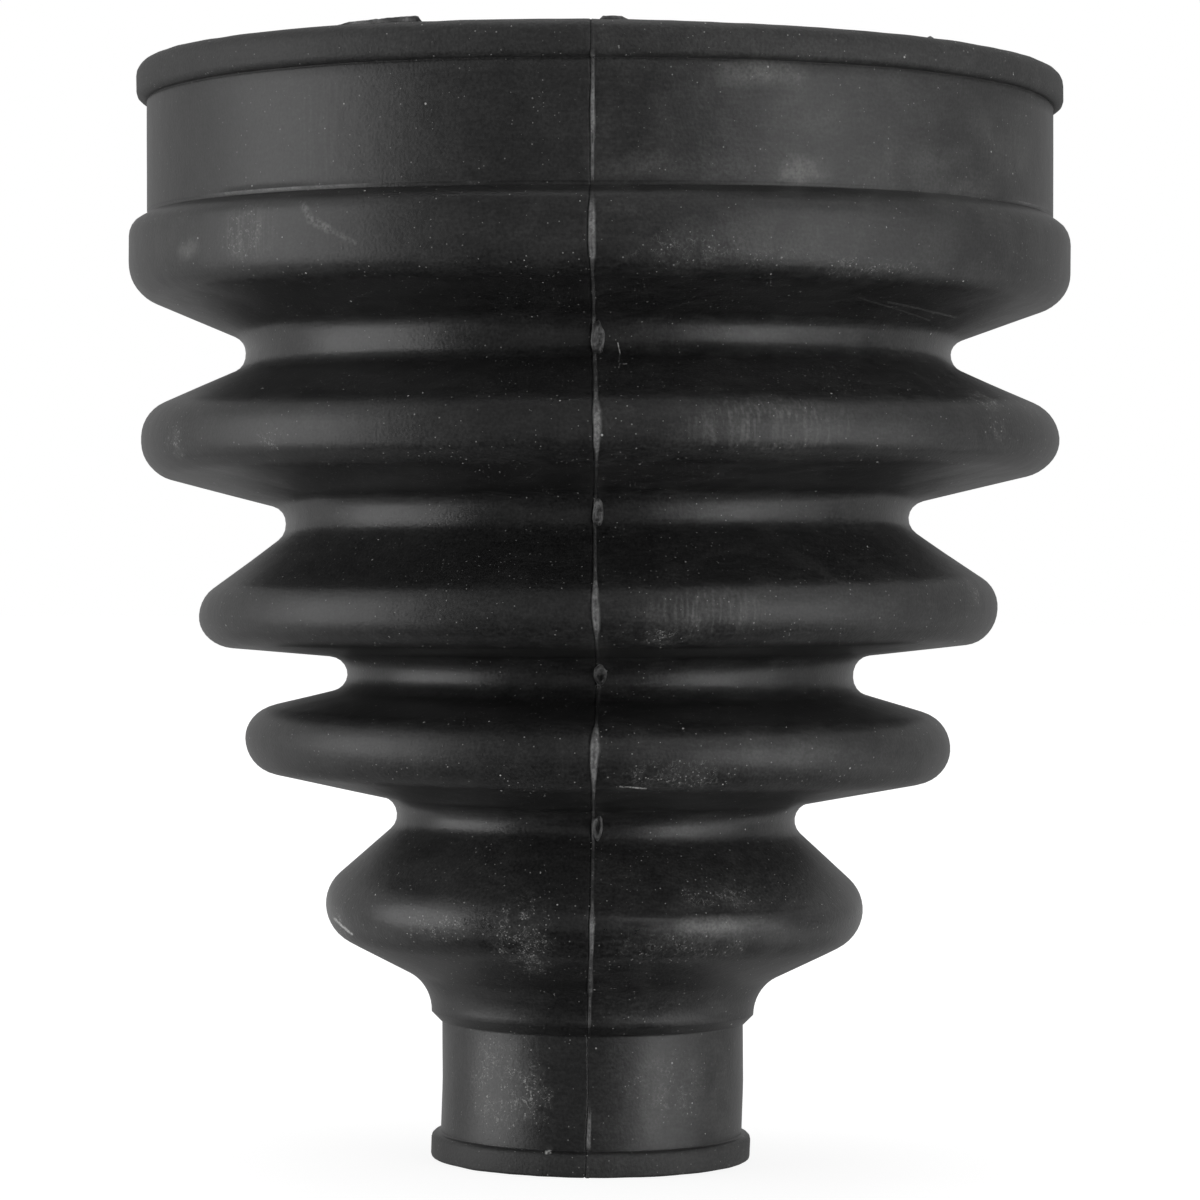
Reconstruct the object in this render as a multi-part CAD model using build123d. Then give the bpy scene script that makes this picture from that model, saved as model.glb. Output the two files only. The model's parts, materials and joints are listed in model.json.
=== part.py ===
from build123d import *
import os
from collections import namedtuple
from math import atan2, cos, degrees, hypot, radians, sin, sqrt, tan

# Rubber bellows boot, moulded in one piece. All lengths are millimetres.
# The axis is Z. The small end's face lies at Z 0, and the large end opens upwards.
# The mould halves part on the YZ plane.

# Large end: a smooth seat for a clamp band, between the lip and the bellows' shoulder.
LARGE_BORE = 88.0
LARGE_WALL = 3.0
LARGE_SEAT = 11.2
LARGE_LIP_HEIGHT = 4.3
LARGE_LIP_PROUD = 1.05
LARGE_LIP_ROUND = 1.65

# Small end: the same, between its lip and a step up to the neck.
SMALL_BORE = 25.0
SMALL_WALL = 3.2
SMALL_SEAT = 11.4
SMALL_LIP_HEIGHT = 2.6
SMALL_LIP_PROUD = 0.95
SMALL_LIP_ROUND = 0.6
SMALL_STEP = 1.1

# Edges of both ends.
LIP_UNDERCUT_ROUND = 0.5
MOUTH_ROUND = 0.6

# Bellows wall.
WALL = 2.2
WALL_EDGE_ROUND = 0.3

# Neck: the bend above the small end, and the taper that leads the bore into it.
NECK_ROUND = 4.7
LEAD_IN_ANGLE = 20.0

# Folds, from the small end up. A crest's overhang is how far it stands out past the large
# end's seat, a valley's depth is measured from the crest above it, and a rise is the height
# above the bend below.
CREST_OVERHANGS = (-19.0, -10.3, -5.5, 0.65, 1.85)
CREST_ROUNDS = (4.15, 3.65, 3.6, 4.05, 4.3)
CREST_RISES = (11.1, 7.7, 6.5, 8.5, 9.1)
VALLEY_DEPTHS = (15.95, 15.15, 15.25, 12.2)
VALLEY_ROUND = 1.95
VALLEY_RISES = (9.2, 7.1, 9.4, 8.8)

# Shoulder: the top fold's corner, and the slope from it in to the large end's seat.
SHOULDER_ROUND = 2.5
SHOULDER_RISE = 2.7
SHOULDER_SLOPE = 36.0

# Mould flash: the fin on the parting line, and the pad of it in each valley.
FIN_WIDTH = 0.35
FIN_PROUD = 0.3
PAD_WIDTH = 1.3
PAD_LENGTH = 2.8
PAD_PROUD = 0.9

# Ends of neighbouring lines closer than this are the same point.
TOUCHING = 1e-6

# Radii and heights that follow.
LARGE_BORE_RADIUS = LARGE_BORE / 2
LARGE_SEAT_RADIUS = LARGE_BORE_RADIUS + LARGE_WALL
LARGE_LIP_RADIUS = LARGE_SEAT_RADIUS + LARGE_LIP_PROUD
SMALL_BORE_RADIUS = SMALL_BORE / 2
SMALL_SEAT_RADIUS = SMALL_BORE_RADIUS + SMALL_WALL
SMALL_LIP_RADIUS = SMALL_SEAT_RADIUS + SMALL_LIP_PROUD
NECK_RADIUS = SMALL_SEAT_RADIUS + SMALL_STEP
SMALL_SEAT_TOP = SMALL_LIP_HEIGHT + SMALL_SEAT
NECK_HEIGHT = SMALL_SEAT_TOP + SMALL_STEP
CREST_RADII = [LARGE_SEAT_RADIUS + overhang for overhang in CREST_OVERHANGS]
VALLEY_RADII = [crest - depth for crest, depth in zip(CREST_RADII[1:], VALLEY_DEPTHS)]

# A bend of the wall, in the section right of the axis: its centre, and its radius,
# which is negative in a valley, so that centre + radius * (cos, sin) is on the wall
# at either kind, for the angle of the wall's outward normal.
Bend = namedtuple("Bend", "x z radius")


def crest(reach, height, rounding, depth):
    """Bend out to radius reach, for the surface that lies depth under the outer one."""
    rounding = max(rounding - depth, WALL_EDGE_ROUND)
    return Bend(reach - depth - rounding, height, rounding)


def valley(reach, height, rounding, depth):
    """Bend in to radius reach, for the surface that lies depth under the outer one."""
    return Bend(reach + rounding, height, -rounding - depth)


def wall_bends(depth):
    """Bends of the wall from the neck up to the shoulder."""
    height = NECK_HEIGHT
    bends = [valley(NECK_RADIUS, height, NECK_ROUND, depth)]
    for fold, (reach, rounding, rise) in enumerate(zip(CREST_RADII, CREST_ROUNDS, CREST_RISES)):
        if fold:
            height += VALLEY_RISES[fold - 1]
            bends.append(valley(VALLEY_RADII[fold - 1], height, VALLEY_ROUND, depth))
        height += rise
        bends.append(crest(reach, height, rounding, depth))
    height += SHOULDER_RISE
    bends.append(crest(CREST_RADII[-1], height, SHOULDER_ROUND, depth))
    return bends


def flank_angle(low, high):
    """Angle of the outward normal of the straight flank that touches both bends."""
    run, rise = high.x - low.x, high.z - low.z
    length = hypot(run, rise)
    along = (low.radius - high.radius) / length
    across = sqrt(1 - along**2)
    return degrees(atan2(along * rise - across * run, along * run + across * rise))


def on_bend(bend, angle):
    """Point of the wall where its outward normal has this angle."""
    return (bend.x + bend.radius * cos(radians(angle)), bend.z + bend.radius * sin(radians(angle)))


def arc(bend, start, end):
    """The bend's start, middle and end point."""
    return tuple(on_bend(bend, angle) for angle in (start, (start + end) / 2, end))


def wall_outline(depth, neck_angle):
    """Arcs of the wall from the neck, where it leaves at neck_angle, up to the shoulder."""
    bends = wall_bends(depth)
    flanks = [flank_angle(low, high) for low, high in zip(bends, bends[1:])]
    angles = [neck_angle, *flanks, 90 - SHOULDER_SLOPE]
    return [arc(*bend) for bend in zip(bends, angles, angles[1:])]


def point_at_radius(point, radius, slope):
    """Where the line through point, rising outwards at this slope, reaches the radius."""
    return (radius, point[1] + (radius - point[0]) * tan(radians(slope)))


def ledge(depth, radius):
    """Where the shoulder's slope, at this depth, meets the large end's wall of this radius."""
    return point_at_radius(wall_outline(depth, 0)[-1][-1], radius, -SHOULDER_SLOPE)


HEIGHT = ledge(0, LARGE_SEAT_RADIUS)[1] + LARGE_SEAT + LARGE_LIP_HEIGHT


def outer_outline(proud=0.0):
    """Surface that stands proud of the boot's outside, from the small end's face upwards."""
    small_corner = SMALL_LIP_RADIUS - SMALL_LIP_ROUND
    undercut = LARGE_LIP_RADIUS - LIP_UNDERCUT_ROUND
    large_corner = LARGE_LIP_RADIUS - LARGE_LIP_ROUND
    small_round = SMALL_LIP_ROUND + proud
    undercut_round = LIP_UNDERCUT_ROUND + proud
    lip_bottom = HEIGHT - LARGE_LIP_HEIGHT
    return [
        arc(Bend(small_corner, SMALL_LIP_ROUND, small_round), -90, 0),
        arc(Bend(small_corner, SMALL_LIP_HEIGHT - SMALL_LIP_ROUND, small_round), 0, 90),
        ((SMALL_SEAT_RADIUS + proud, SMALL_LIP_HEIGHT + proud),),
        ((SMALL_SEAT_RADIUS + proud, SMALL_SEAT_TOP),),
        *wall_outline(-proud, 0),
        (ledge(-proud, LARGE_SEAT_RADIUS + proud),),
        ((LARGE_SEAT_RADIUS + proud, lip_bottom - proud),),
        arc(Bend(undercut, lip_bottom + LIP_UNDERCUT_ROUND, undercut_round), -90, 0),
        arc(Bend(large_corner, HEIGHT - LARGE_LIP_ROUND, LARGE_LIP_ROUND + proud), 0, 90),
    ]


def inner_outline():
    """Inside of the boot, from the large end's mouth down to the small end's."""
    wall = wall_outline(WALL, -LEAD_IN_ANGLE)
    lead_in = point_at_radius(wall[0][0], SMALL_BORE_RADIUS, 90 - LEAD_IN_ANGLE)
    return [
        arc(Bend(LARGE_BORE_RADIUS + MOUTH_ROUND, HEIGHT - MOUTH_ROUND, MOUTH_ROUND), 90, 180),
        (ledge(WALL, LARGE_BORE_RADIUS),),
        *(bend[::-1] for bend in wall[::-1]),
        (lead_in,),
        arc(Bend(SMALL_BORE_RADIUS + MOUTH_ROUND, MOUTH_ROUND, MOUTH_ROUND), 180, 270),
    ]


def fin_root():
    """Line inside the wall, from the large end's face down to the small end's."""
    depth = WALL / 2
    return [
        ((LARGE_SEAT_RADIUS - depth, HEIGHT),),
        (ledge(depth, LARGE_SEAT_RADIUS - depth),),
        *(bend[::-1] for bend in wall_outline(depth, 0)[::-1]),
        ((SMALL_SEAT_RADIUS - depth, 0),),
    ]


def section(outline, plane):
    """Face inside a closed outline of corner points and arcs, joined by straight lines."""
    edges = [ThreePointArc(*piece) for piece in outline if len(piece) == 3]
    for piece, following in zip(outline, outline[1:] + outline[:1]):
        run, rise = following[0][0] - piece[-1][0], following[0][1] - piece[-1][1]
        if hypot(run, rise) > TOUCHING:
            edges.append(Line(piece[-1], following[0]))
    return plane * make_face(edges)


def body():
    """The boot's wall, turned about the axis."""
    return revolve(section(outer_outline() + inner_outline(), Plane.XZ), Axis.Z)


def fin():
    """Fin along the parting line at the back, trimmed flush with both end faces."""
    blade = extrude(section(outer_outline(FIN_PROUD) + fin_root(), Plane.YZ), FIN_WIDTH / 2, both=True)
    width = 3 * max(CREST_RADII)
    between_faces = Box(width, width, HEIGHT, align=(Align.CENTER, Align.CENTER, Align.MIN))
    return blade & between_faces


def pads():
    """Pads of flash at the back, one standing out of the bottom of each valley."""
    solids = []
    for bend in wall_bends(0)[1:]:
        if bend.radius < 0:
            root = Plane((0, bend.x + bend.radius - WALL / 2, bend.z), x_dir=(1, 0, 0), z_dir=(0, 1, 0))
            outline = root * SlotOverall(PAD_LENGTH, PAD_WIDTH, rotation=90)
            solids.append(extrude(outline, WALL / 2 + PAD_PROUD))
    return solids


flash = [fin(), *pads()]
boot = body() + flash + [mirror(piece, Plane.XZ) for piece in flash]

os.makedirs("parts", exist_ok=True)
export_step(boot, "parts/bellows_boot.step")
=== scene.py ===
import json
import math
from collections import namedtuple

import bpy
import numpy as np
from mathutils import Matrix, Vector, noise


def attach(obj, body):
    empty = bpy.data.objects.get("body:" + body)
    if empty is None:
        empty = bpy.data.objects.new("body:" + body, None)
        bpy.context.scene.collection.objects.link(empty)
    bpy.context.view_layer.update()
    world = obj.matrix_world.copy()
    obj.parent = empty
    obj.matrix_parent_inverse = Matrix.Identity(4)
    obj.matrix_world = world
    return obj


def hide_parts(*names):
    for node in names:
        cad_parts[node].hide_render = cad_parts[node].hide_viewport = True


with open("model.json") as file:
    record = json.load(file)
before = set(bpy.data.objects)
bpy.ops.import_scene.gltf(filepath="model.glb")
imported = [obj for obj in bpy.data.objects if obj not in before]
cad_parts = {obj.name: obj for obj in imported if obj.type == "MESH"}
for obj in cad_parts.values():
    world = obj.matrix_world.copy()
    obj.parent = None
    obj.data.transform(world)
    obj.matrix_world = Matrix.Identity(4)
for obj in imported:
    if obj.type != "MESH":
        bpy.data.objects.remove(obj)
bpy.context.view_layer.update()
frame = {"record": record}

# A rubber bellows boot, moulded in one piece, on a pale floor in soft light. The boot's section
# is worked out in millimetres from its driving sizes, and made into a mesh in metres.
NODE = "bellows_boot"
BODY = "root"
MM = 0.001
TOUCHING = 1e-6

# ---------------- driving sizes, millimetres
# The solid's sizes, but for SMALL_LIP_FOOT_ROUND and LIP_UNDERCUT_ROUND, which follow the photo.
MOUNTS = {mount["name"]: mount for mount in frame["record"]["mounts"]}
LARGE_BORE_RADIUS = MOUNTS["large_bore"]["dims"]["r_mm"]
SMALL_BORE_RADIUS = MOUNTS["small_bore"]["dims"]["r_mm"]
LARGE_WALL = 3.0
LARGE_SEAT = 11.2
LARGE_LIP_HEIGHT = 4.3
LARGE_LIP_PROUD = 1.05
LARGE_LIP_ROUND = 1.65
SMALL_WALL = 3.2
SMALL_SEAT = 11.4
SMALL_LIP_HEIGHT = 2.6
SMALL_LIP_PROUD = 0.95
SMALL_LIP_ROUND = 0.6
SMALL_LIP_FOOT_ROUND = 0.3
SMALL_STEP = 1.1
LIP_UNDERCUT_ROUND = 0.95
MOUTH_ROUND = 0.6
WALL = 2.2
WALL_EDGE_ROUND = 0.3
NECK_ROUND = 4.7
LEAD_IN_ANGLE = 20.0
CREST_OVERHANGS = (-19.0, -10.3, -5.5, 0.65, 1.85)
CREST_ROUNDS = (4.15, 3.65, 3.6, 4.05, 4.3)
CREST_RISES = (11.1, 7.7, 6.5, 8.5, 9.1)
VALLEY_DEPTHS = (15.95, 15.15, 15.25, 12.2)
VALLEY_ROUND = 1.95
VALLEY_RISES = (9.2, 7.1, 9.4, 8.8)
SHOULDER_ROUND = 2.5
SHOULDER_RISE = 2.7
SHOULDER_SLOPE = 36.0

LARGE_SEAT_RADIUS = LARGE_BORE_RADIUS + LARGE_WALL
LARGE_LIP_RADIUS = LARGE_SEAT_RADIUS + LARGE_LIP_PROUD
SMALL_SEAT_RADIUS = SMALL_BORE_RADIUS + SMALL_WALL
SMALL_LIP_RADIUS = SMALL_SEAT_RADIUS + SMALL_LIP_PROUD
NECK_RADIUS = SMALL_SEAT_RADIUS + SMALL_STEP
SMALL_SEAT_TOP = SMALL_LIP_HEIGHT + SMALL_SEAT
NECK_HEIGHT = SMALL_SEAT_TOP + SMALL_STEP
CREST_RADII = [LARGE_SEAT_RADIUS + overhang for overhang in CREST_OVERHANGS]
VALLEY_RADII = [reach - depth for reach, depth in zip(CREST_RADII[1:], VALLEY_DEPTHS)]

# How the real moulding sits: (height, lean in degrees, shift along X, rise) of its ends, valleys
# and crests, from the foot up. A lean over 0 lowers the right side.
SAG = (
    (0.0, 0.0, -0.2, 0.0), (8.0, 0.1, 0.0, -0.1), (15.1, 0.2, -0.1, -0.05), (26.2, 0.3, 0.0, 0.0),
    (35.4, 0.2, 0.05, 0.05), (43.1, 0.6, 0.2, 0.1), (50.2, -0.25, 0.4, 0.1),
    (56.7, -1.35, 0.15, 0.1), (66.1, -1.1, -0.05, 0.1), (74.6, -0.4, 0.2, 0.1),
    (83.4, -0.35, -0.1, 0.1), (92.5, 0.3, -0.05, -0.1), (97.8, -0.1, -0.05, 0.0),
    (109.0, 0.2, -0.15, 0.05), (113.3, 0.1, -0.2, -0.1),
)

# Where the parting line wanders to at the front and at the back, as (height, shift along X).
FRONT_SEAM = (
    (0.0, -0.25), (15.0, -0.3), (26.0, -0.2), (35.0, -0.2), (43.0, -0.35), (50.0, -0.1),
    (57.0, -0.24), (66.0, -0.2), (75.0, -0.3), (83.0, -0.35), (93.0, -0.73), (113.3, -0.64),
)
BACK_SEAM = ((0.0, 0.2), (20.0, 0.1), (45.0, 0.3), (70.0, -0.1), (90.0, 0.25), (113.3, 0.4))
# How far from the parting line the mesh still follows half of its wander.
SEAM_WIDTH = 6.0
# The torn fin of flash on that line, as (height, millimetres proud, half width). It is broad on
# the noses of the folds and thin between them.
FRONT_FIN = (
    (0.0, 0.12, 0.2), (0.4, 0.02, 0.1), (2.1, 0.02, 0.1), (2.7, 0.0, 0.1), (2.9, 0.12, 0.2),
    (4.3, 0.2, 0.2), (6.0, 0.1, 0.12), (7.0, 0.0, 0.08), (13.9, 0.0, 0.08), (15.5, 0.1, 0.13),
    (18.6, 0.1, 0.14), (19.3, 0.16, 0.28), (21.0, 0.12, 0.22), (23.0, 0.12, 0.16),
    (24.0, 0.15, 0.18), (26.6, 0.2, 0.25), (28.3, 0.16, 0.18), (29.0, 0.1, 0.14), (38.1, 0.1, 0.13),
    (40.5, 0.13, 0.16), (41.4, 0.2, 0.3), (44.2, 0.3, 0.42), (45.6, 0.24, 0.34), (46.2, 0.1, 0.14),
    (47.4, 0.03, 0.1), (48.7, 0.06, 0.2), (53.1, 0.05, 0.12), (54.6, 0.1, 0.16), (55.2, 0.18, 0.28),
    (56.8, 0.26, 0.36), (58.7, 0.2, 0.28), (60.1, 0.14, 0.18), (62.0, 0.1, 0.14),
    (65.3, 0.08, 0.15), (69.2, 0.05, 0.11), (71.7, 0.11, 0.16), (73.0, 0.18, 0.26),
    (74.7, 0.27, 0.34), (76.1, 0.25, 0.36), (77.5, 0.15, 0.22), (79.5, 0.12, 0.2),
    (82.4, 0.13, 0.2), (85.9, 0.09, 0.15), (90.8, 0.11, 0.15), (91.3, 0.2, 0.27),
    (92.6, 0.27, 0.32), (94.9, 0.26, 0.29), (96.1, 0.16, 0.2), (96.5, 0.03, 0.14),
    (97.3, 0.04, 0.15), (97.8, 0.0, 0.1), (98.4, 0.12, 0.12), (102.8, 0.13, 0.14),
    (103.6, 0.23, 0.2), (105.6, 0.22, 0.19), (107.0, 0.13, 0.13), (108.7, 0.1, 0.12),
    (109.3, 0.13, 0.3), (109.6, 0.04, 0.12), (112.5, 0.02, 0.1), (113.3, 0.0, 0.1),
)
BACK_FIN = (
    (0.0, 0.05, 0.12), (3.5, 0.18, 0.2), (8.0, 0.08, 0.12), (16.0, 0.1, 0.14), (23.0, 0.14, 0.2),
    (27.0, 0.24, 0.3), (31.0, 0.1, 0.14), (39.0, 0.08, 0.13), (43.5, 0.28, 0.36),
    (47.0, 0.08, 0.14), (54.0, 0.12, 0.2), (57.5, 0.28, 0.38), (61.0, 0.12, 0.16),
    (71.0, 0.08, 0.14), (75.5, 0.27, 0.33), (79.0, 0.12, 0.18), (89.0, 0.1, 0.14),
    (94.0, 0.28, 0.34), (96.8, 0.04, 0.14), (98.4, 0.14, 0.14), (105.0, 0.24, 0.2),
    (108.9, 0.12, 0.2), (109.4, 0.03, 0.12), (113.3, 0.0, 0.1),
)
# How the fin's height varies and its edge wanders, as shares of its height and half width, over
# what length, and how blunt it is: lower is blunter.
FIN_ROUGHNESS = 0.3
FIN_WANDER = 0.3
FIN_ROUGHNESS_LENGTH = 1.3
FIN_BLUNTNESS = 0.7
# The groove beside the fin, where the mould's halves don't quite match.
GROOVE_GAP = 0.1
GROOVE_HALF_WIDTH = 0.13
GROOVE_DEPTH = 0.07

# How far the large lip's underside and the ledge rise from their nominal heights, as
# (degrees right of the front, millimetres), and how far above and below them the rise fades out.
LIP_UNDERSIDE = (
    (-180, 0.3), (-90, 0.0), (-60, 0.1), (-30, 0.4), (0, 0.55), (37, 0.9), (60, 0.8), (90, 0.3),
    (180, 0.3),
)
LEDGE_RISE = (
    (-180, 0.0), (-90, 0.0), (0, 0.05), (20, 0.3), (45, 0.5), (65, 0.35), (90, 0.0), (180, 0.0),
)
RISE_REACH = 2.4
# The creases under the lip and under the large seat, and how far the one under the seat reaches.
LIP_CREASE = 0.32
LEDGE_CREASE = 0.22
LEDGE_CREASE_REACH = 1.1
# How far the folds stand above their nominal height at the front and the back, as (height,
# millimetres left of the parting line, millimetres right of it). At the sides they don't.
FOLD_RISE = (
    (12.0, 0.0, 0.0), (14.0, 0.25, 0.3), (18.0, 0.1, 0.1), (22.0, 0.0, 0.0), (25.3, 0.3, 0.3),
    (26.9, 0.0, -0.1), (28.6, -0.3, -0.85), (31.5, 0.0, -0.2), (34.3, 0.0, -0.4), (35.6, 0.0, -0.1),
    (37.7, 0.1, 0.1), (39.5, 0.25, 0.25), (42.0, 0.5, 0.5), (43.6, 0.3, 0.3), (45.8, 0.2, 0.2),
    (48.0, 0.0, 0.0), (49.8, 0.05, 0.05), (51.6, 0.7, 0.5), (53.9, 0.75, 0.7), (55.4, 0.65, 0.6),
    (57.0, 0.6, 0.6), (59.0, 0.8, 0.8), (62.5, 0.2, 0.2), (65.5, 0.35, 0.35), (67.3, 1.2, 1.3),
    (71.5, 0.7, 0.75), (73.2, 0.0, 0.0), (75.0, 0.05, 0.1), (77.1, 0.1, 0.3), (80.0, 0.0, 0.2),
    (82.6, -0.2, 0.45), (84.4, 1.1, 1.1), (86.5, 1.15, 1.15), (88.9, 0.3, 0.3), (90.6, -0.3, -0.3),
    (92.5, 0.0, 0.0),
)
# Within this many degrees of the parting line, the left rises turn into the right ones.
RISE_BLEND = 15.0
# The sliver of flash on the ledge's edge, as (degrees right of the front, millimetres proud).
LEDGE_FLASH = (
    (-180, 0.0), (-59, 0.0), (-56, 0.05), (-51.5, 0.07), (-50.5, 0.3), (-38.5, 0.28), (-36, 0.14),
    (-28, 0.1), (-26, 0.0), (-17, 0.0), (-15, 0.08), (-12, 0.0), (57, 0.0), (63, 0.12), (72, 0.1),
    (75, 0.0), (110, 0.0), (118, 0.12), (150, 0.1), (156, 0.0), (180, 0.0),
)

# Torn pads of flash, one in each valley at the front and at the back, from the foot up:
# (shift along X, rise, half width, half length, millimetres proud, depth of the hollow in it).
FRONT_PADS = (
    (0.24, 0.4, 0.5, 1.3, 0.62, 0.4),
    (0.0, 0.8, 0.62, 1.0, 0.75, 0.3),
    (0.05, 0.75, 0.5, 1.3, 0.65, 0.12),
    (-0.03, 0.25, 0.66, 1.5, 0.8, 0.08),
)
BACK_PADS = (
    (0.1, 0.2, 0.6, 1.3, 0.7, 0.1),
    (-0.2, 0.5, 0.6, 1.2, 0.75, 0.2),
    (0.2, 0.3, 0.65, 1.25, 0.7, 0.3),
    (0.0, 0.4, 0.6, 1.35, 0.75, 0.15),
)
# How deep a pad is set into the wall, and its points: rings, their spokes, and the sizes of
# the two outer rings, of which the first is the root.
PAD_ROOT = 0.9
PAD_RINGS = 7
PAD_SPOKES = 32
PAD_OUTER_RINGS = (1.04, 1.06)
# How uneven a pad's outline is, as a share, and its face, in millimetres, how finely so, and how
# much the outlines differ from valley to valley.
PAD_OUTLINE_ROUGHNESS = 0.22
PAD_OUTLINE_FINENESS = 1.3
PAD_FACE_ROUGHNESS = 0.16
PAD_FACE_FINENESS = 2.4
PAD_VARIETY = 7
# A pad's rim, as shares of its size: where it is and how wide, how much of the pad's height it
# adds, and where the hollow inside it ends.
PAD_RIM = 0.72
PAD_RIM_WIDTH = 0.2
PAD_RIM_SHARE = 0.15
PAD_HOLLOW_END = 0.6
# How far a pad's edge falls, from which share of its size, and over what share. The whole pad
# also falls along X by this slope.
PAD_EDGE_FALL = 0.16
PAD_EDGE_START = 0.8
PAD_EDGE_WIDTH = 0.24
PAD_SLOPE = 0.12

# Torn flash left standing on the large lip, three scraps at the front and two at the back, each
# as rows of (degrees right of the front, height).
LIP_TABS = (
    (
        (-32.4, 0.0), (-31.0, 0.24), (-28.0, 0.34), (-25.0, 0.46),
        (-22.0, 0.52), (-21.5, 0.45), (-21.3, 0.0),
    ),
    ((0.0, 0.0), (0.3, 0.3), (1.4, 0.36), (2.6, 0.28), (3.3, 0.0)),
    ((43.1, 0.0), (43.4, 0.22), (43.9, 0.0)),
    ((148.0, 0.0), (149.0, 0.3), (153.5, 0.42), (156.0, 0.1), (157.0, 0.0)),
    ((-124.0, 0.0), (-121.5, 0.25), (-119.5, 0.35), (-119.1, 0.0)),
)
TAB_THICKNESS = 0.34
# How deep a scrap is set into the lip, its points' spacing, how ragged its top is and how finely
# so, and the least that it stands out.
TAB_ROOT = 0.5
TAB_STEP = 0.3
TAB_RAGGEDNESS = 0.08
TAB_FINENESS = 1.7
TAB_LEAST = 0.02
# Its section above the root, as shares of (half its thickness, its height).
TAB_SECTION = ((0.8, 0.75), (0.2, 1.0), (-0.7, 0.7))

# Marks on the outside: (kind, degrees right of the front, height, half width, half height,
# strength). The dust kind is a pale film, which in two patches also paints a highlight, "scuff" a
# patch of short scratches and specks, and "streak" a patch of upright streaks. The folds are
# counted from the top.
MARKS = (
    # large seat
    ("dust", 24, 99.5, 2.8, 1.4, 4.0),
    ("dust", 23, 100.0, 6.0, 2.2, 0.7),
    ("dust", 19, 108.7, 5.5, 1.1, 2.0),
    ("dust", 25, 104.5, 5.0, 3.0, 0.6),
    ("dust", 9, 99.3, 9.0, 1.3, 0.5),
    ("dust", 42, 100.0, 12.0, 3.0, 0.5),
    ("dust", 58, 104.0, 8.0, 4.0, 0.5),
    ("streak", -33, 103.0, 5.0, 6.0, 0.5),
    ("streak", -26, 103.0, 5.0, 6.0, 0.35),
    # first fold
    ("streak", -44, 93.8, 4.5, 3.2, 1.6),
    ("scuff", -44, 93.8, 4.0, 3.0, 0.5),
    ("dust", -56, 92.4, 2.0, 1.2, 3.0),
    ("scuff", 14, 91.2, 10.0, 1.4, 0.28),
    ("scuff", 32, 90.6, 9.0, 1.2, 0.3),
    ("scuff", 9, 92.6, 3.0, 0.9, 0.4),
    ("dust", 22, 93.0, 9.0, 2.6, 0.5),
    ("dust", -62, 93.0, 7.0, 3.0, 0.4),
    # second fold
    ("scuff", -42, 73.9, 1.6, 1.0, 0.7),
    ("scuff", -63, 73.8, 2.0, 1.6, 0.8),
    ("dust", -37, 75.5, 7.0, 2.0, 0.5),
    ("streak", 20, 75.3, 9.0, 3.0, 1.0),
    ("dust", 20, 75.3, 9.0, 2.4, 0.5),
    ("scuff", 56, 78.4, 3.0, 1.2, 0.8),
    ("scuff", 68, 77.8, 3.0, 1.3, 0.8),
    ("scuff", 55, 75.0, 2.0, 1.5, 0.5),
    # third fold
    ("streak", 15, 57.5, 6.5, 2.4, 0.9),
    ("dust", 14, 57.5, 7.0, 2.0, 0.5),
    ("scuff", 9, 55.0, 2.2, 0.9, 0.6),
    ("scuff", 67, 58.6, 1.8, 1.4, 0.7),
    # fourth fold
    ("scuff", 12, 41.8, 6.5, 1.5, 0.45),
    ("dust", 30, 44.0, 6.0, 1.6, 0.5),
    # fifth fold
    ("dust", -20, 31.0, 14.0, 3.4, 0.3),
    ("dust", 30, 31.0, 10.0, 3.0, 0.2),
    ("scuff", -15, 25.6, 3.4, 3.6, 0.75),
    ("scuff", -14, 22.6, 2.0, 1.6, 0.9),
    ("scuff", -34, 25.8, 4.0, 1.8, 0.6),
    ("scuff", -71, 24.6, 2.6, 1.9, 1.0),
    ("scuff", 20, 24.6, 9.0, 2.0, 0.3),
    # Partly dust, partly a painted highlight: it brightens the right highlight on this fold's nose.
    ("dust", 26, 26.6, 5.0, 1.0, 1.6),
    ("scuff", 30, 29.0, 6.0, 1.2, 0.4),
    ("dust", -34, 27.3, 4.0, 1.6, 0.6),
    # small seat
    ("scuff", -37, 9.0, 4.6, 5.2, 0.7),
    ("scuff", -23, 8.0, 2.4, 3.2, 0.85),
    ("dust", -36, 8.6, 4.6, 5.0, 0.6),
    # Partly dust, partly a painted highlight: it stands in for a narrow highlight on the small seat.
    ("dust", 23, 8.7, 1.6, 5.2, 1.0),
    ("dust", 55, 8.7, 6.0, 5.2, 0.35),
    ("scuff", 30, 9.0, 5.0, 4.0, 0.3),
    # the sides and the back, which have their share
    ("dust", 150, 104.0, 9.0, 4.0, 0.6),
    ("streak", -140, 103.0, 9.0, 6.0, 0.8),
    ("scuff", 118, 93.0, 5.0, 3.0, 0.7),
    ("streak", -110, 94.0, 6.0, 3.0, 0.8),
    ("scuff", -160, 93.5, 4.0, 2.5, 0.8),
    ("dust", -120, 75.0, 8.0, 2.6, 0.6),
    ("scuff", 135, 74.5, 4.5, 2.4, 0.8),
    ("streak", 165, 75.0, 8.0, 3.0, 0.8),
    ("scuff", -125, 57.0, 4.0, 2.0, 0.8),
    ("streak", 120, 57.5, 7.0, 2.4, 0.8),
    ("scuff", 170, 42.5, 5.0, 2.0, 0.8),
    ("dust", -150, 43.5, 7.0, 2.0, 0.6),
    ("scuff", 140, 25.0, 4.0, 3.0, 0.9),
    ("scuff", -130, 25.5, 3.0, 2.4, 0.7),
    ("scuff", 160, 9.0, 4.0, 4.5, 0.8),
    ("dust", -120, 8.6, 4.0, 5.0, 0.7),
)
# How sharply a mark's strength falls off towards its edge: lower is sharper.
MARK_SOFTNESS = 0.6
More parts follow.
